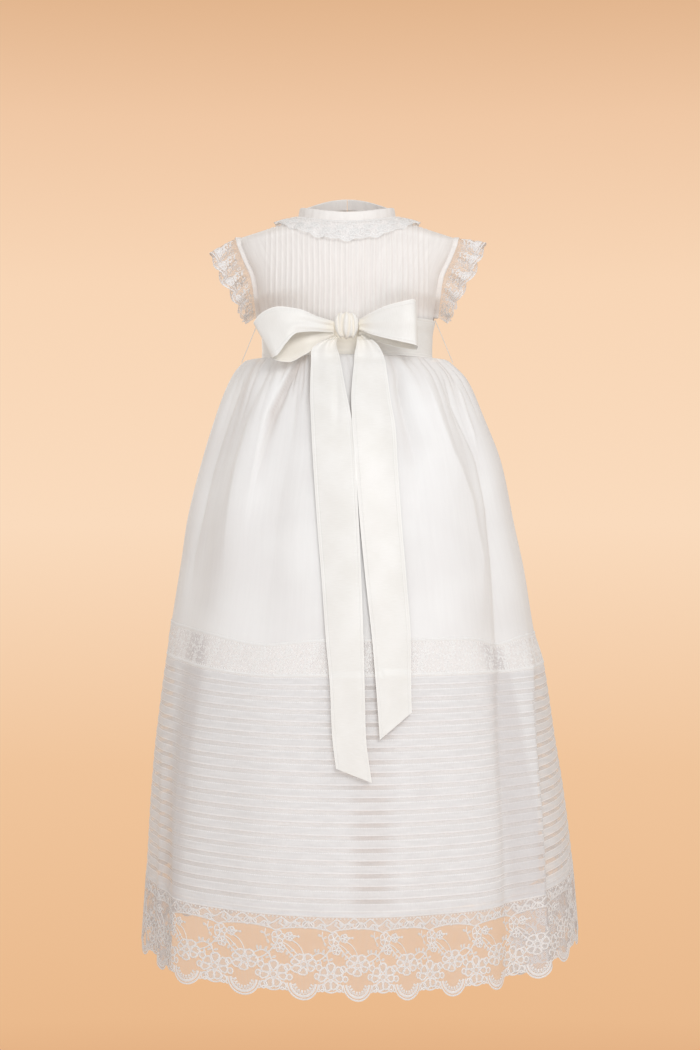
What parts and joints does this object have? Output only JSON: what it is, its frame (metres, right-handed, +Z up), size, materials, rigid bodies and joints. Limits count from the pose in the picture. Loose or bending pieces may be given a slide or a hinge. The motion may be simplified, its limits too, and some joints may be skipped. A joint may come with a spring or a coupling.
{
  "type": "christening gown",
  "caption": "Long hollow christening gown with a pintucked bodice, lace flounces at the armholes, a satin sash tied in a front bow, a tucked tier and a deep scalloped lace hem.",
  "frame": {"origin": "middle of the neck opening at shoulder height, where the gown is held by the wearer's neck and shoulders", "axes": "+Z up along the gown, -Y out of its front, +X towards the wearer's left"},
  "size_m": [0.4558, 0.4671, 0.7985],
  "materials": {
    "organza": "sheer white organza",
    "lace": "white net lace with leaf and flower motifs",
    "satin": "ivory satin ribbon",
    "lining": "plain matte white cloth",
    "thread": "white twisted thread",
    "button": "ivory, gently glossy"
  },
  "bodies": {
    "root": {"bodice_front": "organza", "bodice_back_left": "organza", "bodice_back_right": "organza", "neckband": "organza", "armhole_binding_left": "organza", "armhole_binding_right": "organza", "skirt_front": "organza", "skirt_back": "organza", "tucked_front": "organza", "tucked_back": "organza", "collar_lace": "lace", "sleeve_lace_left": "lace", "sleeve_lace_right": "lace", "insertion_front": "lace", "insertion_back": "lace", "hem_lace_front": "lace", "hem_lace_back": "lace", "sash_band": "satin", "bow_knot": "satin", "bow_loop_left": "satin", "bow_loop_right": "satin", "bow_tail_left": "satin", "bow_tail_right": "satin", "lining_front": "lining", "lining_back_left": "lining", "lining_back_right": "lining", "belt_thread_left": "thread", "belt_thread_right": "thread", "back_button_1": "button", "back_button_2": "button", "back_button_3": "button"}
  },
  "joints": []
}
